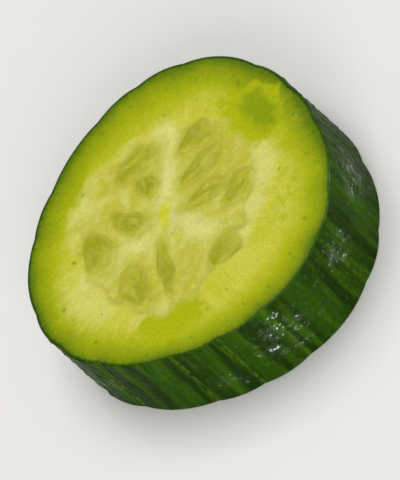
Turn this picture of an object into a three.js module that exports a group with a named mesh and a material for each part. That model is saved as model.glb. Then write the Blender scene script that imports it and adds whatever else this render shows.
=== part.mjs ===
// A round slice of cucumber with its peel on, lying on one of its two cut faces.
// It is one piece, as it grew: peel, flesh and the seeds that the knife cut through.
// Millimetres, +Z up. The origin is on the surface that the slice rests on, under its middle.
import * as THREE from "three";

// Driving dimensions of the slice
const SLICE_DIAMETER = 35.3;
const SLICE_THICKNESS = 9.5;
const KNIFE_LEAN = 0.15; // how far the upper face rises at +X, and falls at -X
const FLARE = 0.2; // how much further out the peel is below than above, as the fruit tapers
const EDGE_ROUNDING = 0.25; // where the peel turns from the wall into a cut face

// The peel: strips between shallow grooves that run along the fruit
const STRIPS = 16;
const STRIP_BULGE = 0.22; // how far the middle of a strip stands out of the grooves beside it
const STRIP_UNEVENNESS = 0.5; // share of a strip's width by which its groove is out of place
const OVALNESS = 0.008; // share of the radius
const LOBE_FLATNESS = 0.034; // the same: the fruit is flatter where a lobe points, and rounder between

// The seed cavity: lobes of soft pulp round the fruit's own middle, with a wall of pale flesh
// between each two
const LOBES = 3;
const FRUIT_MIDDLE = { x: -1.1, y: 1.3 };
const FIRST_LOBE_DEG = -10; // the way that the first lobe points, turned from +X towards +Y
const CAVITY_RADIUS = 10.9;
const LOBE_REACH = 0.6; // how much further out a lobe ends than its mean, and a wall further in
const CAVITY_SLOPE = 1.2; // width of the slope from the firm flesh down to the pulp
const PULP_DEPTH = 0.35;
const LOBE_WALL_WIDTH = 0.9;
const SEED_TOP = 0.1; // how far a seed stands above the firm flesh

// Seeds in the upper cut: where the middle is, length, width, and the way that the blunt end points
const UPPER_SEEDS = [
  { x: 7.1, y: 5.5, length: 4.6, width: 2.8, deg: -12 },
  { x: 4.9, y: 2.4, length: 6.0, width: 2.1, deg: 0 },
  { x: 3.5, y: -0.8, length: 4.8, width: 2.0, deg: -16 },
  { x: 5.9, y: -3.5, length: 4.4, width: 2.7, deg: 12 },
  { x: 0.6, y: 9.1, length: 5.2, width: 3.7, deg: -18 },
  { x: -0.2, y: 5.9, length: 3.0, width: 2.5, deg: 80 },
  { x: -4.1, y: 4.5, length: 5.2, width: 2.1, deg: -70 },
  { x: -8.6, y: 4.7, length: 5.6, width: 3.8, deg: 248 },
  { x: -8.5, y: -2.3, length: 5.8, width: 3.3, deg: 77 },
  { x: -5, y: -3.7, length: 6.8, width: 1.4, deg: 62 },
  { x: 0.6, y: -8.1, length: 5.0, width: 3.6, deg: 0 },
];

// Seeds in the lower cut: these, on both sides of each lobe, each a little out of place
const LOWER_SEEDS = [
  { radius: 3.8, offsetDeg: 31, length: 3.2, width: 1.9 },
  { radius: 8.0, offsetDeg: 29, length: 4.4, width: 3.0 },
];
const RADIUS_SCATTER = 0.6;
const SIZE_SCATTER = 0.25;
const ANGLE_SCATTER = 10;

// Grid of points: steps round the slice, and rings at shares of the radius. A coarse ring has
// a point on every second or fourth step only.
const STEPS_PER_STRIP = 9;
const STEPS = STRIPS * STEPS_PER_STRIP;
const UPPER_RINGS = [
  { from: 0.04, to: 0.12, spacing: 0.04, coarseness: 4 },
  { from: 0.155, to: 0.33, spacing: 0.035, coarseness: 2 },
  { from: 0.36, to: 0.74, spacing: 0.038, coarseness: 1 },
];
const LOWER_RINGS = [
  { from: 0.06, to: 0.12, spacing: 0.06, coarseness: 4 },
  { from: 0.16, to: 0.33, spacing: 0.0425, coarseness: 2 },
  { from: 0.37, to: 0.746, spacing: 0.047, coarseness: 1 },
];
const FLESH_RING = 0.93; // from here out, the flesh turns green
const EDGE_RING = 0.986;
const WALL_ROWS = [1, 0.66, 0.33, 0]; // shares of the height between the two rounded edges

// Colours of the wet cut face and the peel
const FLESH = new THREE.Color(0xbdbd4e);
const PULP = new THREE.Color(0xc8c670);
const SEED = new THREE.Color(0xa5a62c);
const GREEN_FLESH = new THREE.Color(0x7d8c08);
const PEEL = new THREE.Color(0x2e4a0c);

const { clamp, degToRad, lerp, smoothstep } = THREE.MathUtils;
const FULL_TURN = 2 * Math.PI;
const GOLDEN_RATIO = (1 + Math.sqrt(5)) / 2;

// From -0.5 to 0.5, different for each whole number and the same on every run.
const scatter = (n) => ((n * GOLDEN_RATIO) % 1) - 0.5;

// 1 along the middle of a lobe, and -1 along the wall between two lobes.
const lobeCosine = (angle) => Math.cos(LOBES * (angle - degToRad(FIRST_LOBE_DEG)));

const grooveAngle = (k) => ((k + STRIP_UNEVENNESS * scatter(k + 1)) * FULL_TURN) / STRIPS;

// The angle and the radius of the upper edge at each step round the slice.
function outline() {
  const steps = [];
  for (let strip = 0; strip < STRIPS; strip++) {
    const from = grooveAngle(strip);
    const isLast = strip + 1 === STRIPS;
    const to = isLast ? grooveAngle(0) + FULL_TURN : grooveAngle(strip + 1);
    for (let step = 0; step < STEPS_PER_STRIP; step++) {
      const share = step / STEPS_PER_STRIP;
      const angle = lerp(from, to, share);
      const oval = OVALNESS * Math.cos(2 * angle + 1);
      const sweep = 1 + oval - LOBE_FLATNESS * lobeCosine(angle);
      const groove = STRIP_BULGE * (1 - 2 * share) ** 2;
      steps.push({ angle, radius: (SLICE_DIAMETER / 2) * sweep - groove });
    }
  }
  return steps;
}

function lowerSeeds() {
  const seeds = [];
  for (let lobe = 0; lobe < LOBES; lobe++) {
    for (const side of [-1, 1]) {
      for (const row of LOWER_SEEDS) {
        const n = 5 * seeds.length;
        const lobeDeg = FIRST_LOBE_DEG + (lobe * 360) / LOBES;
        const deg = lobeDeg + side * row.offsetDeg + ANGLE_SCATTER * scatter(n);
        const radius = row.radius + RADIUS_SCATTER * scatter(n + 1);
        seeds.push({
          x: FRUIT_MIDDLE.x + radius * Math.cos(degToRad(deg)),
          y: FRUIT_MIDDLE.y + radius * Math.sin(degToRad(deg)),
          length: row.length * (1 + SIZE_SCATTER * scatter(n + 2)),
          width: row.width * (1 + SIZE_SCATTER * scatter(n + 3)),
          deg: deg + 2 * ANGLE_SCATTER * scatter(n + 4),
        });
      }
    }
  }
  return seeds;
}

// 0 in the middle of a seed and 1 on its outline, which is an egg with its blunt end forward.
function seedDistance(seed, x, y) {
  const turn = degToRad(seed.deg);
  const [dx, dy] = [x - seed.x, y - seed.y];
  const along = (dx * Math.cos(turn) + dy * Math.sin(turn)) / (seed.length / 2);
  const across = (dy * Math.cos(turn) - dx * Math.sin(turn)) / (seed.width / 2);
  return Math.hypot(along, across / (1 + 0.2 * clamp(along, -1, 1)));
}

// What is at a point of a cut face: 1 in the pulp and 0 in the firm flesh, 1 on a wall between
// lobes and 0 away from it, and 1 on a seed and 0 beside it.
function anatomy(x, y, seeds) {
  const [dx, dy] = [x - FRUIT_MIDDLE.x, y - FRUIT_MIDDLE.y];
  const radius = Math.hypot(dx, dy);
  const angle = Math.atan2(dy, dx);
  const edge = CAVITY_RADIUS + LOBE_REACH * lobeCosine(angle);
  const pulp = 1 - smoothstep(radius, edge - CAVITY_SLOPE, edge);
  const toWall = (Math.acos(-lobeCosine(angle)) / LOBES) * radius;
  const wall = Math.exp(-((toWall / LOBE_WALL_WIDTH) ** 2));
  const nearest = Math.min(...seeds.map((seed) => seedDistance(seed, x, y)));
  const seed = Math.sqrt(Math.max(0, 1 - nearest ** 4));
  return { pulp, wall, seed };
}

// How far the cut face stands above its ring of firm flesh, or below it where negative.
function relief({ pulp, wall, seed }) {
  const softLevel = -PULP_DEPTH * (1 - 0.7 * wall);
  return pulp * lerp(softLevel, SEED_TOP, seed);
}

function cutColour({ pulp, wall, seed }) {
  const soft = PULP.clone().lerp(FLESH, wall).lerp(SEED, seed);
  return FLESH.clone().lerp(soft, pulp);
}

const ringShares = (ranges) =>
  ranges.flatMap(({ from, to, spacing, coarseness }) => {
    const count = Math.round((to - from) / spacing) + 1;
    return Array.from({ length: count }, (_, k) => ({ share: from + k * spacing, coarseness }));
  });

function sliceGeometry() {
  const rim = outline();
  const positions = [];
  const colours = [];

  // The colour is kept as a share of the material's own colour, which is the flesh's.
  function addPoint({ x, y, z, colour }) {
    positions.push(x, y, z);
    colours.push(colour.r / FLESH.r, colour.g / FLESH.g, colour.b / FLESH.b);
    return positions.length / 3 - 1;
  }

  // A row has a point number for each step, and a coarse one has the same number on a few steps.
  function addRow(pointAt, coarseness = 1) {
    const numbers = [];
    for (let step = 0; step < STEPS; step++) {
      const isNew = step % coarseness === 0;
      numbers.push(isNew ? addPoint(pointAt(rim[step])) : numbers[step - 1]);
    }
    return numbers;
  }

  const upperZ = (x, relative) => SLICE_THICKNESS + (KNIFE_LEAN * x) / (SLICE_DIAMETER / 2) + relative;

  function upperPoint(x, y) {
    const found = anatomy(x, y, UPPER_SEEDS);
    return { x, y, z: upperZ(x, relief(found)), colour: cutColour(found) };
  }

  // The lower cut is flat where the slice rests, and no seed reaches below it.
  const seedsBelow = lowerSeeds();
  function lowerPoint(x, y) {
    const found = anatomy(x, y, seedsBelow);
    return { x, y, z: Math.max(0, -relief(found)), colour: cutColour(found) };
  }

  const ringAt = (share, flare, facePoint) => ({ angle, radius }) => {
    const distance = (radius + flare) * share;
    return facePoint(distance * Math.cos(angle), distance * Math.sin(angle));
  };
  const inGreen = (pointAt) => (step) => ({ ...pointAt(step), colour: GREEN_FLESH });
  const wallAt = (share) => ({ angle, radius }) => {
    const distance = radius + FLARE * (1 - share);
    const [x, y] = [distance * Math.cos(angle), distance * Math.sin(angle)];
    const z = lerp(EDGE_ROUNDING, upperZ(x, -EDGE_ROUNDING), share);
    return { x, y, z, colour: PEEL };
  };

  const rows = [];
  for (const { share, coarseness } of ringShares(UPPER_RINGS)) {
    rows.push(addRow(ringAt(share, 0, upperPoint), coarseness));
  }
  rows.push(addRow(ringAt(FLESH_RING, 0, upperPoint)));
  rows.push(addRow(inGreen(ringAt(EDGE_RING, 0, upperPoint))));
  for (const share of WALL_ROWS) rows.push(addRow(wallAt(share)));
  rows.push(addRow(inGreen(ringAt(EDGE_RING, FLARE, lowerPoint))));
  rows.push(addRow(ringAt(FLESH_RING, FLARE, lowerPoint)));
  for (const { share, coarseness } of ringShares(LOWER_RINGS).reverse()) {
    rows.push(addRow(ringAt(share, FLARE, lowerPoint), coarseness));
  }

  const triangles = [];
  function addTriangle(a, b, c) {
    if (a !== b && b !== c && c !== a) triangles.push(a, b, c);
  }
  const upperMiddle = addPoint(upperPoint(0, 0));
  const lowerMiddle = addPoint(lowerPoint(0, 0));
  const lastRow = rows[rows.length - 1];
  for (let step = 0; step < STEPS; step++) {
    const next = (step + 1) % STEPS;
    addTriangle(upperMiddle, rows[0][step], rows[0][next]);
    addTriangle(lowerMiddle, lastRow[next], lastRow[step]);
    for (let row = 1; row < rows.length; row++) {
      const [above, below] = [rows[row - 1], rows[row]];
      addTriangle(above[step], below[step], below[next]);
      addTriangle(above[step], below[next], above[next]);
    }
  }

  const geometry = new THREE.BufferGeometry();
  geometry.setAttribute("position", new THREE.Float32BufferAttribute(positions, 3));
  geometry.setAttribute("color", new THREE.Float32BufferAttribute(colours, 3));
  geometry.setIndex(triangles);

  // The middle of the outline goes over the origin.
  geometry.computeBoundingBox();
  const middle = geometry.boundingBox.getCenter(new THREE.Vector3());
  geometry.translate(-middle.x, -middle.y, 0);
  geometry.computeVertexNormals();
  return geometry;
}

// Wet flesh, which the colours of the points darken to pulp and peel.
const cutCucumber = new THREE.MeshStandardMaterial({
  name: "wet_cucumber",
  color: FLESH,
  vertexColors: true,
  roughness: 0.3,
  metalness: 0,
});

const slice = new THREE.Mesh(sliceGeometry(), cutCucumber);
slice.name = "cucumber_slice";

const cucumber = new THREE.Group();
cucumber.name = "cucumber";
cucumber.add(slice);

export default cucumber;
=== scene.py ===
"""Round slice of cucumber, peel on, lying wet on a pale floor.

The slice is one closed surface. It is worked out in millimetres as rings of points that run from
the middle of the upper cut face, over the peel, to the middle of the lower one. Its anatomy (seeds,
seed lobes, distance from the peel) is kept on the points, and the materials colour it from there.
"""

import math

import bpy
import numpy as np
from mathutils import Matrix, Quaternion, Vector


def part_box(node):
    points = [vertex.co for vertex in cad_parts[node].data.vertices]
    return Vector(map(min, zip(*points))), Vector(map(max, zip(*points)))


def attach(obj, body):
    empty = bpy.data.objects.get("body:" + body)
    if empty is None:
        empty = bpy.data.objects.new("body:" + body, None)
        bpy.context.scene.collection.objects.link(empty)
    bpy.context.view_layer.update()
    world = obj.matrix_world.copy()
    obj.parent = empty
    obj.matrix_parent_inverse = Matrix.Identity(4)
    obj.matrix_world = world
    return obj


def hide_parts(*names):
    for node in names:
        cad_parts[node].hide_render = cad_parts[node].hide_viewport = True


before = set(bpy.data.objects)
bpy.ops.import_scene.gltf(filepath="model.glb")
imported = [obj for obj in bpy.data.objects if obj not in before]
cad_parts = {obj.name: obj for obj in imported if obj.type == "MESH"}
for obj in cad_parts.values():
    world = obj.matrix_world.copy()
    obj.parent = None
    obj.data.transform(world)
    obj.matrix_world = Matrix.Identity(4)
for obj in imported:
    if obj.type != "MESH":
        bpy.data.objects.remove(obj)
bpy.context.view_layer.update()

NODE = "cucumber_slice"
LOWEST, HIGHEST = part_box(NODE)
MM = 0.001

bl_info = {
    "name": "Cucumber slice",
    "version": (1, 0, 0),
    "blender": (4, 5, 0),
    "location": "View3D > Sidebar > Cucumber",
    "description": "Makes a wet round slice of cucumber on a pale floor",
    "category": "Add Mesh",
}

# The slice, as in the CAD part, in millimetres. The seed cavity and its lobes lie round the
# fruit's own middle, and the pulp in them lies lower than the firm flesh.
DIAMETER = 35.3
THICKNESS = 9.5
KNIFE_LEAN = 0.15
FLARE = 0.2
STRIPS = 16
STRIP_BULGE = 0.22
STRIP_UNEVENNESS = 0.5
OVALNESS = 0.008
LOBE_FLATNESS = 0.034
LOBES = 3
FRUIT_MIDDLE = (-1.1, 1.3)
FIRST_LOBE = math.radians(-10)
CAVITY_RADIUS = 10.9
LOBE_REACH = 0.6
CAVITY_SLOPE = 1.2
PULP_DEPTH = 0.35
LOBE_WALL_WIDTH = 0.9
SEED_TOP = 0.1

# Seeds in the upper cut: x and y of the middle, length, width, degrees that the blunt end points
# to, darkness from 0 to 1
UPPER_SEEDS = (
    (7.1, 5.5, 4.6, 2.8, -12, 0.8),
    (4.9, 2.4, 6.0, 2.1, 0, 0.3),
    (3.5, -0.8, 4.8, 2.0, -16, 0.0),
    (5.9, -3.5, 4.4, 2.7, 12, 0.05),
    (0.6, 9.1, 5.2, 3.7, -18, 0.2),
    (-0.2, 5.9, 3.0, 2.5, 80, 1.0),
    (-4.1, 4.5, 5.2, 2.1, -70, 0.75),
    (-8.6, 4.7, 5.6, 3.8, 248, 0.45),
    (-8.5, -2.3, 5.8, 3.3, 77, 0.4),
    (-5.0, -3.7, 6.8, 1.4, 62, 0.95),
    (0.6, -8.1, 5.0, 3.6, 0, 0.6),
)

# Seeds in the lower cut, on both sides of each lobe: radius, degrees off the lobe, length, width
LOWER_SEEDS = ((3.8, 31, 3.2, 1.9), (8.0, 29, 4.4, 3.0))
# How far they may be out of place in all: in radius, as a share of their size, and in degrees
RADIUS_SCATTER = 0.6
SIZE_SCATTER = 0.25
ANGLE_SCATTER = 10

# Places in a cut face that have a colour of their own: x and y of the middle, half length, half
# width, degrees that it lies along, strength. They are green patches at the outer ends of the
# lobes, darker cores in those, pale firm flesh, and clear pulp.
UPPER_PLACES = {
    "patch": (
        (12.5, 1.8, 5.0, 3.8, 84, 1.0),
        (-8.3, -8.9, 4.9, 2.9, 142, 1.0),
        (8.0, -9.6, 5.0, 2.2, 38, 0.12),
    ),
    "core": ((13.2, 1.2, 4.0, 2.3, 86, 1.0),),
    "pale": (
        (8.9, -3.6, 4.0, 2.6, 62, 1.0),
        (5.0, -6.6, 3.4, 2.4, 20, 0.9),
        (-5.6, 9.6, 4.0, 2.2, 25, 0.9),
        (-9.6, -7.0, 3.4, 1.6, 120, 0.5),
        (-12.6, 1.0, 4.0, 2.4, 95, 0.35),
    ),
    "clear": (
        (6.2, 2.2, 5.4, 4.2, 80, 1.0),
        (-3.0, -5.4, 3.6, 2.0, 50, 1.0),
    ),
}
LOWER_PLACES = {
    "patch": (
        (11.0, -1.2, 3.6, 2.0, 80, 0.8),
        (-7.4, 11.0, 3.8, 2.2, 200, 0.8),
        (-7.8, -9.9, 3.6, 2.2, 140, 0.8),
    ),
    "core": ((-7.6, 11.4, 2.2, 0.9, 200, 0.8),),
    "pale": (
        (9.0, 6.0, 4.4, 2.4, 130, 0.9),
        (-12.0, 0.5, 4.4, 2.2, 95, 0.9),
        (2.0, -12.0, 4.0, 2.2, 10, 0.8),
    ),
    "clear": (
        (3.0, 6.0, 4.2, 2.6, 120, 0.9),
        (-5.6, -3.6, 3.8, 2.4, 30, 0.9),
    ),
}

# The green rim is this share wider than the mean on one side, and narrower on the other
RIM_SWING = 0.22
RIM_WIDEST = math.radians(52)

# Where water stands on the peel: degrees round it, height, half width, strength
WET_PLACES = (
    (264, 5.2, 4.4, 1.0),
    (240, 3.0, 2.4, 0.6),
    (296, 6.4, 3.0, 0.7),
    (325, 5.0, 4.2, 0.9),
    (18, 6.0, 3.6, 0.5),
    (116, 4.4, 4.4, 0.5),
    (192, 5.4, 3.8, 0.4),
)

# Bundles of vessels, which the cut shows as small green dots: how many, depth under the peel,
# radius of a dot
OUTER_BUNDLES = (26, 2.1, 0.30)
INNER_BUNDLES = (12, 5.2, 0.26)

# How far growth moves the seeds and the cavity's edge from their plain curves, in millimetres
GROWTH_WARP = 0.13
CAVITY_WANDER = 0.3

# The slice rests on its lower face from the peel in to the first of these depths, and from the
# second one on the face has its full relief.
RESTING_RING = (3.6, 5.0)

# The peel's relief fades out over this distance from each cut, and its water over this range
RELIEF_FADE = 0.6
WATER_FADE = (0.2, 1.0)

# Grid of the surface
STEPS_PER_STRIP = 35
UPPER_RINGS = 76
WALL_ROWS = 62
LOWER_RINGS = 32
EDGE_ROWS = 3

# Lights: azimuth and elevation in degrees, distance, width and height in metres, share of the power
LIGHTS = (
    ("top_light", 150, 76, 0.6, 0.45, 0.45, 1.0),
    ("front_light", -18, 30, 0.6, 0.35, 0.35, 0.75),
    ("back_light", 170, 54, 0.6, 0.04, 0.04, 0.06),
)
# Thin lights that stand lower than the upper cut face, so that only the wet peel mirrors them
GLINTS = (
    ("front_glint", 0, 0, 0.2, 0.25, 0.008, 0.45),
    ("side_glint", 80, 0, 0.2, 0.15, 0.008, 0.15),
)
GLINT_COLOUR = (0.85, 1.0, 0.92)
SURROUND_COLOUR = (0.95, 0.97, 1.0, 1)

# Stands for the distance from something that isn't near, in millimetres
FAR = 9.0
GOLDEN_RATIO = (1 + math.sqrt(5)) / 2
FULL_TURN = 2 * math.pi


def smoothstep(value, low, high):
    """0 below low, 1 above high, and 3 s^2 - 2 s^3 of the share s between them."""
    share = np.clip((value - low) / (high - low), 0, 1)
    return share * share * (3 - 2 * share)


def bell(value, width):
    """1 where the value is 0, falling as exp(-(value / width)^2)."""
    return np.exp(-((value / width) ** 2))


def scatter(n):
    """From -0.5 to 0.5: the fraction of n golden ratios, less a half."""
    return (n * GOLDEN_RATIO) % 1 - 0.5


def ripples(x, y, z, wavelength, random_seed, waves=28):
    """Uneven waves of about one wavelength, the same all ways, mostly between -2 and 2.

    A sum of cosines of the distance along random directions, divided by its own spread.
    """
    draw = np.random.default_rng(random_seed)
    total = np.zeros_like(x)
    for _ in range(waves):
        way = draw.normal(size=3)
        way *= FULL_TURN / (wavelength * np.linalg.norm(way) * draw.uniform(0.8, 1.25))
        total += np.cos(way[0] * x + way[1] * y + way[2] * z + draw.uniform(0, FULL_TURN))
    return total / math.sqrt(waves / 2)


def lobe_cosine(angle):
    """1 along the middle of a lobe and -1 along the wall between two lobes."""
    return np.cos(LOBES * (angle - FIRST_LOBE))


def groove_angles():
    """Angles of the peel's grooves, evenly spaced but each a little out of place."""
    return np.array([
        (k + STRIP_UNEVENNESS * scatter(k + 1)) * FULL_TURN / STRIPS for k in range(STRIPS)
    ])


def outline():
    """At each step: its angle, the radius of the upper edge, the distance from the nearest groove,
    and how pale that groove is, from 0.1 to 0.9.

    The radius is a circle, made slightly oval and flatter where a lobe points, less a parabola
    across each strip that is deepest at its two grooves.
    """
    grooves = groove_angles()
    widths = np.diff(np.append(grooves, grooves[0] + FULL_TURN))
    share = np.arange(STEPS_PER_STRIP) / STEPS_PER_STRIP
    angle = (grooves[:, None] + widths[:, None] * share).ravel()
    across = np.tile(share, STRIPS)
    width = np.repeat(widths, STEPS_PER_STRIP)
    sweep = 1 + OVALNESS * np.cos(2 * angle + 1) - LOBE_FLATNESS * lobe_cosine(angle)
    radius = DIAMETER / 2 * sweep - STRIP_BULGE * (1 - 2 * across) ** 2
    to_groove = np.minimum(across, 1 - across) * width * DIAMETER / 2
    strip = np.repeat(np.arange(STRIPS), STEPS_PER_STRIP)
    nearest = np.where(across < 0.5, strip, (strip + 1) % STRIPS)
    paleness = 0.5 + 0.8 * scatter(3 * nearest + 2)
    return angle, radius, to_groove, paleness


def lower_seeds():
    """Rows of seeds on both sides of each lobe, each a little out of place."""
    seeds = []
    for lobe in range(LOBES):
        for side in (-1, 1):
            for radius, offset, length, width in LOWER_SEEDS:
                n = 5 * len(seeds)
                degrees = math.degrees(FIRST_LOBE) + lobe * 360 / LOBES + side * offset
                degrees += ANGLE_SCATTER * scatter(n)
                reach = radius + RADIUS_SCATTER * scatter(n + 1)
                seeds.append((
                    FRUIT_MIDDLE[0] + reach * math.cos(math.radians(degrees)),
                    FRUIT_MIDDLE[1] + reach * math.sin(math.radians(degrees)),
                    length * (1 + SIZE_SCATTER * scatter(n + 2)),
                    width * (1 + SIZE_SCATTER * scatter(n + 3)),
                    degrees + 2 * ANGLE_SCATTER * scatter(n + 4),
                    0.5 + scatter(n + 5),
                ))
    return seeds


def from_place(x, y, place_x, place_y, degrees):
    """How far each point is from a place, along a direction and across it."""
    turn = math.radians(degrees)
    along = (x - place_x) * math.cos(turn) + (y - place_y) * math.sin(turn)
    across = (y - place_y) * math.cos(turn) - (x - place_x) * math.sin(turn)
    return along, across


def seed_distances(x, y, seeds):
    """For each point: distance from the nearest seed's middle as a share of its outline, which
    is an egg, the places along and across that seed from -1 to 1, and its darkness.
    """
    nearest = np.full_like(x, FAR)
    lengthwise = np.zeros_like(x)
    crosswise = np.zeros_like(x)
    dark = np.zeros_like(x)
    for seed_x, seed_y, length, width, degrees, darkness in seeds:
        along, across = from_place(x, y, seed_x, seed_y, degrees)
        along = along / (length / 2)
        across = across / (width / 2) / (1 + 0.2 * np.clip(along, -1, 1))
        distance = np.hypot(along, across)
        closer = distance < nearest
        nearest = np.where(closer, distance, nearest)
        lengthwise = np.where(closer, along, lengthwise)
        crosswise = np.where(closer, across, crosswise)
        dark = np.where(closer, darkness, dark)
    return nearest, lengthwise, crosswise, dark


def place_strength(x, y, places):
    """Highest of strength * (1 - distance), where distance is 1 on a place's oval outline, and
    -1 where no place is near.
    """
    found = np.full_like(x, -1.0)
    for place_x, place_y, half_length, half_width, degrees, strength in places:
        along, across = from_place(x, y, place_x, place_y, degrees)
        distance = np.hypot(along / half_length, across / half_width)
        found = np.maximum(found, strength * (1 - distance))
    return found


def wetness(angle, z):
    """Highest of strength * (1 - distance), where distance is 1 half a width from a wet place,
    and 0 where no such place is near.
    """
    found = np.zeros_like(z)
    for degrees, height, half_width, strength in WET_PLACES:
        turn = (angle - math.radians(degrees) + math.pi) % FULL_TURN - math.pi
        distance = np.hypot(turn * DIAMETER / 2, z - height) / half_width
        found = np.maximum(found, strength * (1 - distance))
    return found


def bundle_distance(x, y, random_seed):
    """Distance from the nearest bundle of vessels, as a share of its radius.

    The bundles stand at even angles, each a little out of place in angle and in depth, and each
    with a radius of its own.
    """
    draw = np.random.default_rng(random_seed)
    nearest = np.full_like(x, FAR)
    for count, depth, size in (OUTER_BUNDLES, INNER_BUNDLES):
        for k in range(count):
            turn = (k + draw.uniform(-0.38, 0.38)) * FULL_TURN / count
            reach = DIAMETER / 2 - depth + draw.uniform(-0.45, 0.45)
            away = np.hypot(x - reach * math.cos(turn), y - reach * math.sin(turn))
            nearest = np.minimum(nearest, away / (size * draw.uniform(0.6, 1.15)))
    return nearest


def anatomy(x, y, inset, seeds, places, random_seed):
    """What lies at each point of a cut face, as named arrays in millimetres and shares.

    The points are first moved along low waves, so that no outline in it is a plain curve. The
    middle is an oval that lies at 45 degrees.
    """
    flat = np.zeros_like(x)
    x, y = (
        x + GROWTH_WARP * ripples(x, y, flat, 3.2, random_seed + 2),
        y + GROWTH_WARP * ripples(x, y, flat, 3.2, random_seed + 3),
    )
    out_x, out_y = x - FRUIT_MIDDLE[0], y - FRUIT_MIDDLE[1]
    radius = np.hypot(out_x, out_y)
    lobes = lobe_cosine(np.arctan2(out_y, out_x))
    inside = CAVITY_RADIUS + LOBE_REACH * lobes - radius
    inside += CAVITY_WANDER * ripples(x, y, flat, 3.6, random_seed + 4)
    to_wall = np.arccos(np.clip(-lobes, -1, 1)) / LOBES * radius
    nearest, lengthwise, crosswise, darkness = seed_distances(x, y, seeds)
    found = {name: place_strength(x, y, places[name]) for name in places}
    return found | {
        "from_peel": inset,
        "cavity": inside,
        "lobe_wall": to_wall,
        "seed": nearest,
        "seed_along": lengthwise,
        "seed_across": crosswise,
        "seed_darkness": darkness,
        "rim": inset / (1 + RIM_SWING * np.cos(np.arctan2(y, x) - RIM_WIDEST)),
        "bundle": bundle_distance(x, y, random_seed),
        "middle": np.hypot(out_x * 0.55 + out_y * 0.45, out_y * 0.95 - out_x * 0.95),
    }


def cut_relief(x, y, found, random_seed, sizes):
    """How far a cut face stands above its ring of firm flesh, or below it where negative.

    Pulp sinks by a smooth step, the walls between lobes fill most of that again, and a seed is a
    dome sqrt(1 - d^4) with a crease round it and a shallow dent on top. Knife marks and the
    swell of the wet tissue are low waves over all of it, the bundles of vessels stand out as
    bells, and a shallow furrow runs just inside the peel.
    """
    pulp = smoothstep(found["cavity"], 0, CAVITY_SLOPE)
    wall = bell(found["lobe_wall"], LOBE_WALL_WIDTH)
    distance = found["seed"]
    dome = np.sqrt(np.clip(1 - distance ** 4, 0, 1))
    soft_level = -PULP_DEPTH * (1 - 0.7 * wall)
    height = pulp * (soft_level + (SEED_TOP - soft_level) * dome)
    flat = np.zeros_like(x)
    crease = bell(distance - 1.1, 0.09)
    dent = bell(distance, 0.5) * (0.4 + found["seed_darkness"])
    height -= pulp * sizes.crease_depth / MM * (crease + dent)
    swell = sizes.swell_height / MM
    height += pulp * swell * ripples(x, y, flat, 1.3, random_seed)
    height += 0.4 * swell * ripples(x, y, flat, 4.5, random_seed + 1)
    height += swell * bell(found["bundle"], 0.9)
    height -= swell / 3 * bell(found["from_peel"] - 0.55, 0.25)
    knife = x * math.cos(0.5) + y * math.sin(0.5) + 0.004 * (x * x + y * y)
    marks = np.cos(knife * 3.1) * (1 + np.cos(knife * 1.37)) / 2
    height += sizes.knife_mark_height / MM * marks
    return height


def slice_surface(sizes):
    """Points of the whole slice as rows of rings, what lies at each of them, and the rows between
    which the wall is.

    A ring on a cut face has its points at one share of the radius of the peel's outline. The
    rounded edges are quarter circles, and the wall is straight between them, wider below by the
    flare.
    """
    angle, edge, to_groove, paleness = outline()
    cos, sin = np.cos(angle), np.sin(angle)
    quarter = np.linspace(0, math.pi / 2, EDGE_ROWS + 2)[1:-1]
    rounding = sizes.edge_radius / MM

    def face(shares, rim, seeds, places, random_seed, is_upper):
        """One cut face: rings at these shares of the rim's radius, less the edge's rounding."""
        distance = shares[:, None] * (rim - rounding)
        x, y = distance * cos, distance * sin
        found = anatomy(x, y, rim - distance, seeds, places, random_seed)
        relief = cut_relief(x, y, found, random_seed, sizes)
        if is_upper:
            z = THICKNESS + KNIFE_LEAN * x / (DIAMETER / 2) + relief
        else:
            z = np.maximum(0, -relief) * smoothstep(found["from_peel"], *RESTING_RING)
        return x, y, z, found

    upper = np.arange(1, UPPER_RINGS + 1) / UPPER_RINGS
    lower = np.arange(LOWER_RINGS, 0, -1) / LOWER_RINGS
    top = face(upper, edge, UPPER_SEEDS, UPPER_PLACES, 11, True)
    bottom = face(lower, edge + FLARE, lower_seeds(), LOWER_PLACES, 23, False)

    # Each row between the faces has an inset from the peel's outline, and a height.
    top_edge = top[2][-1]
    low, high = rounding, top_edge - rounding
    rows = [(rounding * (1 - math.sin(q)), top_edge - rounding * (1 - math.cos(q)))
            for q in quarter]
    rows += [(0.0, low + (high - low) * share) for share in np.linspace(1, 0, WALL_ROWS)]
    rows += [(rounding * (1 - math.cos(q)), np.full_like(angle, rounding * (1 - math.sin(q))))
             for q in quarter]
    inset = np.array([row[0] for row in rows])[:, None] + np.zeros_like(angle)
    z = np.array([row[1] for row in rows])
    radius = edge + FLARE * (1 - z / THICKNESS) - inset
    wet = wetness(angle, z) * smoothstep(top_edge - z, *WATER_FADE)
    from_cuts = smoothstep(z, 0, RELIEF_FADE) * smoothstep(top_edge - z, 0, RELIEF_FADE)
    radius += from_cuts * peel_relief(radius * cos, radius * sin, z, to_groove, wet, sizes)
    wall = radius * cos, radius * sin, z

    on_wall = {"from_peel": inset, "rim": inset, "cavity": -FAR, "lobe_wall": FAR, "seed": FAR,
               "bundle": FAR, "middle": FAR, **dict.fromkeys(UPPER_PLACES, -1.0)}
    values = {
        name: np.vstack((top[3][name], on_wall.get(name, 0.0) + np.zeros_like(z), bottom[3][name]))
        for name in top[3]
    }
    x, y, z = (np.vstack((top[k], wall[k], bottom[k])) for k in range(3))
    values["groove"] = np.zeros_like(x) + to_groove
    values["groove_paleness"] = np.zeros_like(x) + paleness
    values["wet"] = np.vstack((np.zeros_like(top[2]), wet, np.zeros_like(bottom[2])))
    return x, y, z, values, (UPPER_RINGS, UPPER_RINGS + len(rows))


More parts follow.
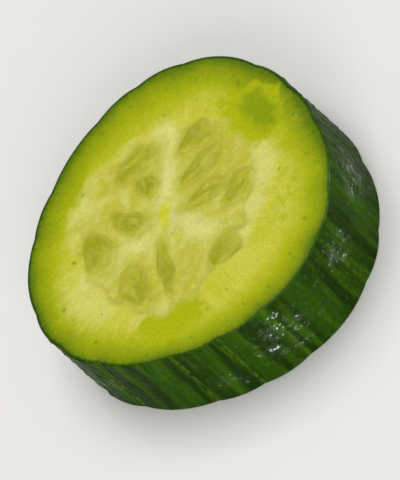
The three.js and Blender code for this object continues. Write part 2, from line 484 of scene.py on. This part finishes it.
def peel_relief(x, y, z, to_groove, wet, sizes):
    """How far the peel stands out: pebbles that are the raised parts of short waves, longer
    swells along the fruit, a fine line sunk along each groove, and the lumps of standing water.
    About as much as the pebbles add on the whole is taken off again.
    """
    pebbles = np.maximum(0, ripples(x, y, z, 1.15, 5)) ** 1.4
    swells = ripples(x, y, z * 0.25, 2.6, 6)
    line = bell(to_groove, 0.22)
    water = smoothstep(wet, 0.1, 0.5) * ripples(x, y, z, 1.3, 9)
    pebble_height = sizes.pebble_height / MM
    height = pebble_height * (pebbles + 2 / 3 * (swells - 1))
    return height - sizes.line_depth / MM * line + sizes.water_height / MM * water


def closed_mesh(name, x, y, z, values, wall_rows):
    """One closed mesh of the rows of rings, with a point in the middle of each cut face.

    The faces between the wall's rows get the second material. Each of the values becomes an
    attribute of the points.
    """
    rows, steps = x.shape
    points = np.stack((x, y, z), axis=-1).reshape(-1, 3)
    middles = np.array([[0, 0, z[0].mean()], [0, 0, z[-1].mean()]])
    points = np.vstack((points, middles))
    # The middle of the outline goes over the origin, as in the CAD part.
    box = (np.array(LOWEST) + np.array(HIGHEST)) / 2 / MM
    shift = (points[:, :2].max(axis=0) + points[:, :2].min(axis=0)) / 2 - box[:2]
    points[:, :2] -= shift

    here = np.arange(steps)
    there = (here + 1) % steps
    base = (np.arange(rows - 1) * steps)[:, None]
    quads = np.stack((base + here, base + steps + here, base + steps + there, base + there), -1)
    quads = quads.reshape(-1, 4)
    last = (rows - 1) * steps
    upper = np.stack((np.full(steps, rows * steps), here, there), -1)
    lower = np.stack((np.full(steps, rows * steps + 1), last + there, last + here), -1)

    mesh = bpy.data.meshes.new(name)
    corners = np.concatenate((quads.ravel(), upper.ravel(), lower.ravel())).astype(np.int32)
    counts = np.concatenate((np.full(len(quads), 4), np.full(2 * steps, 3)))
    starts = np.concatenate(([0], np.cumsum(counts)[:-1])).astype(np.int32)
    mesh.vertices.add(len(points))
    mesh.vertices.foreach_set("co", (points * MM).astype(np.float32).ravel())
    mesh.loops.add(len(corners))
    mesh.loops.foreach_set("vertex_index", corners)
    mesh.polygons.add(len(counts))
    mesh.polygons.foreach_set("loop_start", starts)
    first, end = wall_rows
    row_of = np.concatenate((np.repeat(np.arange(rows - 1), steps), np.full(2 * steps, 0)))
    is_wall = (row_of >= first - 1) & (row_of < end)
    mesh.polygons.foreach_set("material_index", is_wall.astype(np.int32))
    mesh.update(calc_edges=True)
    mesh.validate()
    mesh.shade_smooth()
    for label, value in values.items():
        flat = np.append(value.ravel(), (value[0].mean(), value[-1].mean()))
        layer = mesh.attributes.new(label, "FLOAT", "POINT")
        layer.data.foreach_set("value", flat.astype(np.float32))
    return mesh


class Shader:
    """A material's node tree, with short ways to add the nodes that the patterns need."""

    def __init__(self, name):
        self.material = bpy.data.materials.new(name)
        self.material.use_nodes = True
        self.tree = self.material.node_tree
        self.surface = self.tree.nodes["Principled BSDF"]

    def node(self, kind, inputs, **settings):
        """A node with its settings, and its inputs given as values or as outputs to link."""
        made = self.tree.nodes.new(kind)
        for name, value in settings.items():
            setattr(made, name, value)
        for socket, value in inputs.items():
            if isinstance(value, bpy.types.NodeSocket):
                self.tree.links.new(value, made.inputs[socket])
            else:
                made.inputs[socket].default_value = value
        return made

    def value(self, name):
        """One of the numbers kept on the points."""
        return self.node("ShaderNodeAttribute", {}, attribute_name=name).outputs["Fac"]

    def math(self, operation, first, second):
        """Two values added, multiplied or the like."""
        made = self.node("ShaderNodeMath", {0: first, 1: second}, operation=operation)
        return made.outputs[0]

    def step(self, value, low, high, start=0.0, end=1.0):
        """A smooth step from start to end, as the value goes from low to high."""
        inputs = {"Value": value, "From Min": low, "From Max": high, "To Min": start, "To Max": end}
        made = self.node("ShaderNodeMapRange", inputs, interpolation_type="SMOOTHSTEP")
        return made.outputs["Result"]

    def band(self, value, low, high, soft):
        """1 where the value is between low and high, with soft edges."""
        rising = self.step(value, low - soft, low + soft)
        falling = self.step(value, high - soft, high + soft, 1.0, 0.0)
        return self.math("MULTIPLY", rising, falling)

    def mix(self, factor, first, second, blend="MIX"):
        """The first colour, and as much of the second as the factor says."""
        made = self.node("ShaderNodeMix", {0: factor, 6: first, 7: second}, data_type="RGBA",
                         blend_type=blend)
        return made.outputs[2]

    def ramp(self, value, stops):
        """A colour for each value, from (value, colour) stops over 0 to the last stop."""
        reach = stops[-1][0]
        made = self.node("ShaderNodeValToRGB", {0: self.math("DIVIDE", value, reach)})
        elements = made.color_ramp.elements
        while len(elements) < len(stops):
            elements.new(0.5)
        for element, (place, colour) in zip(elements, stops):
            element.position = place / reach
            element.color = colour
        return made.outputs["Color"]

    def millimetres(self, stretch=(1, 1, 1)):
        """Object coordinates in millimetres, which a stretch can lengthen a pattern along."""
        place = self.node("ShaderNodeTexCoord", {}).outputs["Object"]
        scale = [share / MM for share in stretch]
        return self.node("ShaderNodeMapping", {"Vector": place, "Scale": scale}).outputs[0]

    def spokes(self, around, outward):
        """Coordinates for streaks along the radius: the direction from the middle, times
        around, and the distance from it in millimetres, times outward."""
        place = self.millimetres((1, 1, 0))
        way = self.node("ShaderNodeVectorMath", {0: place}, operation="NORMALIZE").outputs[0]
        way = self.node("ShaderNodeSeparateXYZ", {0: way}).outputs
        far = self.node("ShaderNodeVectorMath", {0: place}, operation="LENGTH").outputs["Value"]
        inputs = {0: self.math("MULTIPLY", way[0], around),
                  1: self.math("MULTIPLY", way[1], around),
                  2: self.math("MULTIPLY", far, outward)}
        return self.node("ShaderNodeCombineXYZ", inputs).outputs[0]

    def noise(self, vector, scale, detail=2.0, roughness=0.5):
        """Soft noise round 0.5, with this many waves in one unit of the coordinates."""
        inputs = {"Vector": vector, "Scale": scale, "Detail": detail, "Roughness": roughness}
        return self.node("ShaderNodeTexNoise", inputs).outputs[0]

    def cells(self, vector, scale, feature="F1"):
        """Distance from the nearest of many scattered points, or from the edges between them."""
        made = self.node("ShaderNodeTexVoronoi", {"Vector": vector, "Scale": scale},
                         feature=feature)
        return made.outputs["Distance"]

    def shifted(self, value, noise, amount):
        """The value, moved up or down by up to half the amount where the noise says so."""
        centred = self.math("SUBTRACT", noise, 0.5)
        return self.math("ADD", value, self.math("MULTIPLY", centred, amount))

    def bump(self, height, distance, normal=None):
        """Bumps of this height, with distance in metres for a height of 1."""
        inputs = {"Height": height, "Distance": distance}
        if normal is not None:
            inputs["Normal"] = normal
        return self.node("ShaderNodeBump", inputs).outputs[0]

    def finish(self, **sockets):
        """Sets or links the surface's own sockets, named with _ for a space."""
        for name, value in sockets.items():
            socket = self.surface.inputs[name.replace("_", " ")]
            if isinstance(value, bpy.types.NodeSocket):
                self.tree.links.new(value, socket)
            else:
                socket.default_value = value
        return self.material


def linear(red, green, blue):
    """Linear colour of an 8-bit sRGB one."""
    shares = np.array((red, green, blue)) / 255
    bent = np.where(shares <= 0.04045, shares / 12.92, ((shares + 0.055) / 1.055) ** 2.4)
    return (*bent.tolist(), 1.0)


def wet_flesh(tints):
    """Cut cucumber: flesh that greens towards the peel, pale walls, and olive seeds in pulp."""
    shader = Shader("wet_cut_flesh")
    place = shader.millimetres()
    broad = shader.noise(place, 0.28, 2.0)
    fine = shader.noise(place, 1.1, 3.0, 0.6)
    spokes = shader.noise(shader.spokes(26, 0.35), 1.0, 3.0, 0.6)
    teeth = shader.noise(shader.spokes(60, 0.6), 1.0, 2.0, 0.6)
    cells = shader.cells(place, 2.6)

    # Firm flesh, from the peel inwards
    depth = shader.shifted(shader.value("rim"), teeth, 0.8)
    depth = shader.shifted(depth, broad, 1.4)
    flesh = shader.ramp(depth, (
        (0.0, tints.under_peel),
        (0.4, tints.under_peel),
        (1.3, tints.rim),
        (3.2, tints.rim_inner),
        (5.6, tints.flesh),
        (7.0, tints.flesh),
    ))
    streaks = shader.step(spokes, 0.35, 0.7, 0.0, 0.3)
    mottled = shader.math("ADD", streaks, shader.step(broad, 0.4, 0.65, 0.0, 0.45))
    flesh = shader.mix(shader.math("MULTIPLY", mottled, shader.step(depth, 2.5, 5.5)),
                       flesh, tints.flesh_pale)
    pale = shader.shifted(shader.shifted(shader.value("pale"), fine, 0.5), spokes, 0.5)
    flesh = shader.mix(shader.step(pale, -0.2, 0.6, 0.0, 0.8), flesh, tints.wall)

    # Bundles of vessels
    dot = shader.step(shader.shifted(shader.value("bundle"), fine, 1.0), 0.5, 1.25, 0.55, 0.0)
    flesh = shader.mix(dot, flesh, tints.vessel)

    # Green patches at the ends of the lobes
    patch = shader.shifted(shader.value("patch"), fine, 0.6)
    patch = shader.shifted(patch, broad, 0.5)
    flesh = shader.mix(shader.step(patch, 0.0, 0.3), flesh, tints.patch)
    core = shader.shifted(shader.value("core"), fine, 0.9)
    flesh = shader.mix(shader.step(core, 0.0, 0.6, 0.0, 0.95), flesh, tints.core)

    # Pulp in the cavity, with clear places, pale threads, and pale walls between the lobes
    cavity = shader.shifted(shader.value("cavity"), fine, 1.1)
    in_cavity = shader.step(cavity, -0.3, 1.0)
    threads = shader.cells(place, 0.42, "DISTANCE_TO_EDGE")
    threads = shader.step(shader.shifted(threads, fine, 0.2), 0.0, 0.28, 0.3, 0.0)
    pulp = shader.mix(shader.step(broad, 0.35, 0.65), tints.pulp, tints.pulp_deep)
    pulp = shader.mix(threads, pulp, tints.wall)
    clear = shader.shifted(shader.value("clear"), fine, 0.5)
    pulp = shader.mix(shader.step(clear, -0.1, 0.4, 0.0, 0.65), pulp, tints.gel)
    soft = shader.mix(in_cavity, flesh, pulp)
    wall_line = shader.shifted(shader.value("lobe_wall"), fine, 1.0)
    wall = shader.step(wall_line, 0.4, 1.8, 0.95, 0.0)
    wall = shader.math("MULTIPLY", wall, shader.step(cavity, -1.8, 0.6))
    soft = shader.mix(wall, soft, tints.wall)

    # Seeds: an olive body streaked along its length, in a thin pale coat and a pocket of clear gel
    seed = shader.shifted(shader.value("seed"), fine, 0.22)
    gel = shader.step(seed, 0.9, 2.0, 0.75, 0.0)
    soft = shader.mix(shader.math("MULTIPLY", gel, shader.step(cavity, 0.0, 1.0)), soft, tints.gel)
    lengthwise = shader.node("ShaderNodeCombineXYZ", {
        0: shader.math("MULTIPLY", shader.value("seed_across"), 1.6),
        1: shader.math("MULTIPLY", shader.value("seed_along"), 0.6),
        2: shader.math("MULTIPLY", shader.value("seed_darkness"), 40.0),
    }).outputs[0]
    grain = shader.noise(lengthwise, 1.0, 2.0, 0.55)
    body = shader.mix(shader.step(grain, 0.4, 0.6), tints.kernel, tints.seed)
    streaked = shader.step(grain, 0.35, 0.65, 0.3, 1.0)
    dark = shader.math("MULTIPLY", shader.value("seed_darkness"), streaked)
    body = shader.mix(shader.math("MULTIPLY", dark, 0.6), body, tints.seed_dark)
    in_seed = shader.step(seed, 0.7, 1.08, 1.0, 0.0)
    soft = shader.mix(shader.math("MULTIPLY", in_seed, 0.9), soft, body)
    coat = shader.band(seed, 0.92, 1.0, 0.05)
    soft = shader.mix(shader.math("MULTIPLY", coat, 0.3), soft, tints.coat)

    # The yellow middle, where the walls meet
    middle = shader.shifted(shader.value("middle"), fine, 0.7)
    soft = shader.mix(shader.step(middle, 0.5, 1.5, 0.85, 0.0), soft, tints.middle)

    # The cut edge of the peel, over everything
    skin = shader.shifted(shader.value("from_peel"), teeth, 0.35)
    soft = shader.mix(shader.step(skin, 0.15, 0.5, 1.0, 0.0), soft, tints.peel_cut)

    # Cells of the tissue, as small changes of brightness
    speckle = shader.step(cells, 0.05, 0.6, 1.06, 0.94)
    grey = shader.node("ShaderNodeCombineColor", {0: speckle, 1: speckle, 2: speckle}).outputs[0]
    colour = shader.mix(1.0, soft, grey, "MULTIPLY")

    # Seeds and pulp are wetter and smoother than the firm flesh.
    wet = shader.math("MAXIMUM", in_seed, shader.math("MULTIPLY", in_cavity, 0.6))
    roughness = shader.step(wet, 0.0, 1.0, 0.36, 0.2)
    roughness = shader.shifted(roughness, fine, 0.22)
    tissue = shader.math("ADD", shader.math("MULTIPLY", cells, 0.5),
                         shader.noise(place, 5.0, 2.0, 0.6))
    normal = shader.bump(tissue, 0.035 * MM)
    normal = shader.bump(spokes, 0.05 * MM, normal)
    return shader.finish(
        Base_Color=colour, Roughness=roughness, Normal=normal, IOR=1.36,
        Specular_IOR_Level=0.07,
        Subsurface_Weight=0.45, Subsurface_Radius=(1.0, 1.0, 0.35), Subsurface_Scale=1.3 * MM,
        Coat_Weight=0.15, Coat_Roughness=0.08, Coat_IOR=1.33,
    )


def peel(tints):
    """Wet dark green peel: soft stripes along the fruit, fine pale lines in its grooves, small
    specks, and a broken film of water where it is wet.
    """
    shader = Shader("wet_peel")
    place = shader.millimetres()
    stripes = shader.noise(shader.millimetres((1, 1, 0.06)), 0.42, 2.0, 0.5)
    streaks = shader.noise(shader.millimetres((1, 1, 0.12)), 1.1, 3.0, 0.55)
    fine = shader.noise(place, 1.6, 3.0, 0.6)

    colour = shader.mix(shader.step(stripes, 0.4, 0.6), tints.peel_dark, tints.peel_mid)
    colour = shader.mix(shader.step(streaks, 0.42, 0.72, 0.0, 0.6), colour, tints.peel_light)
    colour = shader.mix(shader.step(fine, 0.3, 0.5, 0.35, 0.0), colour, tints.peel_dark)
    line = shader.shifted(shader.value("groove"), streaks, 0.6)
    strength = shader.step(fine, 0.35, 0.6)
    strength = shader.math("MULTIPLY", shader.value("groove_paleness"), strength)
    line = shader.math("MULTIPLY", shader.step(line, 0.0, 0.35, 0.8, 0.0), strength)
    colour = shader.mix(line, colour, tints.peel_line)
    specks = shader.cells(place, 1.3)
    colour = shader.mix(shader.step(specks, 0.05, 0.14, 0.35, 0.0), colour, tints.peel_line)

    # Pebbled skin, under a film of water that is broken into beads where it is wet
    normal = shader.bump(shader.noise(place, 1.3, 1.0, 0.4), 0.35 * MM)
    normal = shader.bump(shader.noise(place, 5.0, 3.0), 0.05 * MM, normal)
    wet = shader.step(shader.shifted(shader.value("wet"), fine, 0.9), 0.1, 0.5)
    beads = shader.noise(place, 0.6, 1.0, 0.45)
    film = shader.math("MULTIPLY", shader.step(beads, 0.45, 0.58, 0.1, 0.6), wet)
    film = shader.math("ADD", film, 0.03)
    roughness = shader.shifted(0.36, fine, 0.2)
    return shader.finish(
        Base_Color=colour, Roughness=roughness, Normal=normal, IOR=1.4,
        Specular_IOR_Level=0.02, Coat_Weight=film, Coat_Roughness=0.15, Coat_IOR=1.5,
        Coat_Normal=shader.bump(shader.noise(place, 1.1, 1.0, 0.4), 1.1 * MM),
    )


def colour_property(name, description, red, green, blue):
    """A colour for the sidebar, with its default given as 8-bit sRGB."""
    return bpy.props.FloatVectorProperty(
        name=name, description=description, subtype="COLOR", size=4, min=0.0, max=1.0,
        default=linear(red, green, blue),
    )


def size_property(name, description, millimetres):
    """A small length for the sidebar, with its default given in millimetres."""
    return bpy.props.FloatProperty(
        name=name, description=description, subtype="DISTANCE", unit="LENGTH", min=0.0,
        precision=6, default=millimetres * MM,
    )


class CucumberSizes(bpy.types.PropertyGroup):
    """Fine shapes of the slice, which change none of its main sizes."""

    edge_radius: size_property("Edge", "Rounding between the peel and a cut face", 0.12)
    crease_depth: size_property("Creases", "Depth of a seed's crease, and of the dent on it", 0.06)
    swell_height: size_property("Swell", "Height of the swells in the wet cut tissue", 0.03)
    knife_mark_height: size_property("Knife marks", "Height of the marks of the knife", 0.012)
    pebble_height: size_property("Pebbles", "Height of the pebbles on the peel", 0.03)
    line_depth: size_property("Groove lines", "Depth of the fine line in each groove", 0.06)
    water_height: size_property("Water", "Height of the water that stands on the peel", 0.03)


class CucumberTints(bpy.types.PropertyGroup):
    """Colours of the slice."""

    flesh: colour_property("Flesh", "Firm flesh between the peel and the seeds", 186, 185, 42)
    flesh_pale: colour_property("Pale flesh", "Fibres in the firm flesh", 197, 197, 84)
    rim_inner: colour_property("Inner green", "Flesh some way under the peel", 164, 171, 4)
    rim: colour_property("Outer green", "Flesh just under the peel", 130, 145, 0)
    under_peel: colour_property("Under the peel", "First layer under the peel", 90, 114, 0)
    peel_cut: colour_property("Cut peel", "The peel's thin edge on a cut face", 38, 66, 0)
    vessel: colour_property("Vessels", "Dots where the cut crosses a bundle of vessels",
                            100, 128, 4)
    patch: colour_property("Lobe end", "Patches at the outer ends of the lobes", 166, 172, 0)
    core: colour_property("Core of a lobe end", "Darkest part of such a patch", 130, 147, 0)
    pulp: colour_property("Pulp", "Soft tissue between the seeds", 195, 193, 90)
    pulp_deep: colour_property("Deep pulp", "Clearer parts of the pulp", 183, 181, 58)
    wall: colour_property("Lobe walls", "Pale tissue between the lobes", 206, 203, 118)
    gel: colour_property("Gel", "Clear gel round a seed, and clear pulp", 176, 175, 48)
    seed: colour_property("Seeds", "Body of a seed", 155, 156, 24)
    seed_dark: colour_property("Dark seeds", "Body of the darkest seeds", 136, 139, 14)
    kernel: colour_property("Kernel", "Lighter streaks in a seed", 173, 172, 52)
    coat: colour_property("Seed coat", "Pale rim of a seed", 200, 198, 100)
    middle: colour_property("Middle", "Yellow middle of the fruit", 196, 192, 0)
    peel_dark: colour_property("Dark peel", "Darkest green of the peel", 26, 52, 0)
    peel_mid: colour_property("Peel", "Main green of the peel", 42, 77, 0)
    peel_light: colour_property("Light peel", "Streaks in the peel", 68, 110, 2)
    peel_line: colour_property("Peel lines", "Pale lines along the peel's grooves", 96, 128, 24)


class CucumberStage(bpy.types.PropertyGroup):
    """Floor, lights and camera."""

    floor_colour: colour_property("Floor", "Colour of the pale floor", 222, 220, 216)
    elevation: bpy.props.FloatProperty(
        name="Elevation", description="Angle of the view above the upper cut face",
        default=math.radians(46.6), subtype="ANGLE",
    )
    roll: bpy.props.FloatProperty(
        name="Roll", description="How far the slice is turned in the picture, anticlockwise",
        default=math.radians(48), subtype="ANGLE",
    )
    view_height: bpy.props.FloatProperty(
        name="Height of view", description="Height of the picture where the slice is",
        default=48.5 * MM, min=MM, subtype="DISTANCE", unit="LENGTH",
    )
    distance: bpy.props.FloatProperty(
        name="Distance", description="From the camera to the slice",
        default=0.6, min=0.1, subtype="DISTANCE", unit="LENGTH",
    )
    light: bpy.props.FloatProperty(
        name="Light", description="Power of the main light", default=2.5, min=0.0,
        subtype="POWER", unit="POWER",
    )
    surround: bpy.props.FloatProperty(
        name="Surround", description="Strength of the even light from all sides", default=0.32,
        min=0.0,
    )


class CUCUMBER_OT_slice(bpy.types.Operator):
    """Make the slice, in place of the plain solid."""

    bl_idname = "cucumber.slice"
    bl_label = "Cucumber slice"

    def execute(self, context):
        tints = context.scene.cucumber_tints
        x, y, z, values, wall_rows = slice_surface(context.scene.cucumber_sizes)
        mesh = closed_mesh("sliced_cucumber", x, y, z, values, wall_rows)
        mesh.materials.append(wet_flesh(tints))
        mesh.materials.append(peel(tints))
        piece = bpy.data.objects.new("sliced_cucumber", mesh)
        context.scene.collection.objects.link(piece)
        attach(piece, "root")
        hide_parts(NODE)
        return {"FINISHED"}


class CUCUMBER_OT_stage(bpy.types.Operator):
    """Make the floor, the lights and the camera."""

    bl_idname = "cucumber.stage"
    bl_label = "Floor, lights and camera"

    def execute(self, context):
        settings = context.scene.cucumber_stage
        middle = (Vector(LOWEST) + Vector(HIGHEST)) / 2
        self.make_floor(context, settings)
        self.make_camera(context, settings, middle)
        for row in LIGHTS:
            self.make_light(context, settings, middle, *row)
        for row in GLINTS:
            glint = self.make_light(context, settings, middle, *row)
            glint.data.color = GLINT_COLOUR
            glint.visible_diffuse = False
            glint.visible_camera = False
        world = bpy.data.worlds.new("soft_studio")
        world.use_nodes = True
        background = world.node_tree.nodes["Background"]
        background.inputs["Color"].default_value = SURROUND_COLOUR
        background.inputs["Strength"].default_value = settings.surround
        context.scene.world = world
        context.scene.view_settings.view_transform = "Standard"
        return {"FINISHED"}

    def make_floor(self, context, settings):
        """A plain square, three metres wide, which the slice lies on."""
        half = 1.5
        mesh = bpy.data.meshes.new("floor")
        corners = [(-half, -half, 0), (half, -half, 0), (half, half, 0), (-half, half, 0)]
        mesh.from_pydata(corners, [], [(0, 1, 2, 3)])
        floor = bpy.data.objects.new("floor", mesh)
        shader = Shader("pale_floor")
        mesh.materials.append(shader.finish(Base_Color=settings.floor_colour, Roughness=0.8,
                                            Specular_IOR_Level=0.0))
        context.scene.collection.objects.link(floor)

    def make_camera(self, context, settings, middle):
        """A camera on the -Y side that looks at the middle, turned by the roll.

        The sensor's width counts along the picture's longer side, which is its height.
        """
        lens = bpy.data.cameras.new("camera")
        lens.lens = lens.sensor_width * settings.distance / settings.view_height
        lens.clip_start, lens.clip_end = 0.01, 10
        camera = bpy.data.objects.new("camera", lens)
        back = self.direction(0, settings.elevation)
        turn = (-back).to_track_quat("-Z", "Y") @ Quaternion((0, 0, 1), -settings.roll)
        place = Matrix.Translation(middle + back * settings.distance)
        camera.matrix_world = place @ turn.to_matrix().to_4x4()
        context.scene.collection.objects.link(camera)
        context.scene.camera = camera

    def direction(self, azimuth, elevation):
        """Unit vector. Azimuth 0 is the side where the camera stands, and 90 degrees is +X."""
        return Vector((math.sin(azimuth) * math.cos(elevation),
                       -math.cos(azimuth) * math.cos(elevation), math.sin(elevation)))

    def make_light(self, context, settings, middle, name, azimuth, elevation, distance, width,
                   height, share):
        """A soft light that shines on the middle, from the row of a table of lights."""
        back = self.direction(math.radians(azimuth), math.radians(elevation)) * distance
        lamp = bpy.data.lights.new(name, "AREA")
        lamp.shape = "RECTANGLE"
        lamp.size, lamp.size_y = width, height
        lamp.energy = settings.light * share
        light = bpy.data.objects.new(name, lamp)
        turn = (-back).to_track_quat("-Z", "Y").to_matrix().to_4x4()
        light.matrix_world = Matrix.Translation(middle + back) @ turn
        context.scene.collection.objects.link(light)
        return light


class CUCUMBER_PT_panel(bpy.types.Panel):
    """Lists what can be made and changed."""

    bl_label = "Cucumber slice"
    bl_space_type = "VIEW_3D"
    bl_region_type = "UI"
    bl_category = "Cucumber"

    def draw(self, context):
        layout = self.layout
        scene = context.scene
        for operator, groups in (
            (CUCUMBER_OT_slice, (scene.cucumber_sizes, scene.cucumber_tints)),
            (CUCUMBER_OT_stage, (scene.cucumber_stage,)),
        ):
            layout.operator(operator.bl_idname)
            for settings in groups:
                for name in settings.__annotations__:
                    layout.prop(settings, name)


CLASSES = (CucumberSizes, CucumberTints, CucumberStage, CUCUMBER_OT_slice, CUCUMBER_OT_stage,
           CUCUMBER_PT_panel)


def register():
    """Adds the classes and their settings to Blender."""
    for each in CLASSES:
        bpy.utils.register_class(each)
    bpy.types.Scene.cucumber_sizes = bpy.props.PointerProperty(type=CucumberSizes)
    bpy.types.Scene.cucumber_tints = bpy.props.PointerProperty(type=CucumberTints)
    bpy.types.Scene.cucumber_stage = bpy.props.PointerProperty(type=CucumberStage)


def unregister():
    """Takes them away again."""
    del bpy.types.Scene.cucumber_sizes
    del bpy.types.Scene.cucumber_tints
    del bpy.types.Scene.cucumber_stage
    for each in reversed(CLASSES):
        bpy.utils.unregister_class(each)


def main():
    """Makes the slice and the stage."""
    register()
    bpy.ops.cucumber.slice()
    bpy.ops.cucumber.stage()


if __name__ == "__main__":
    main()
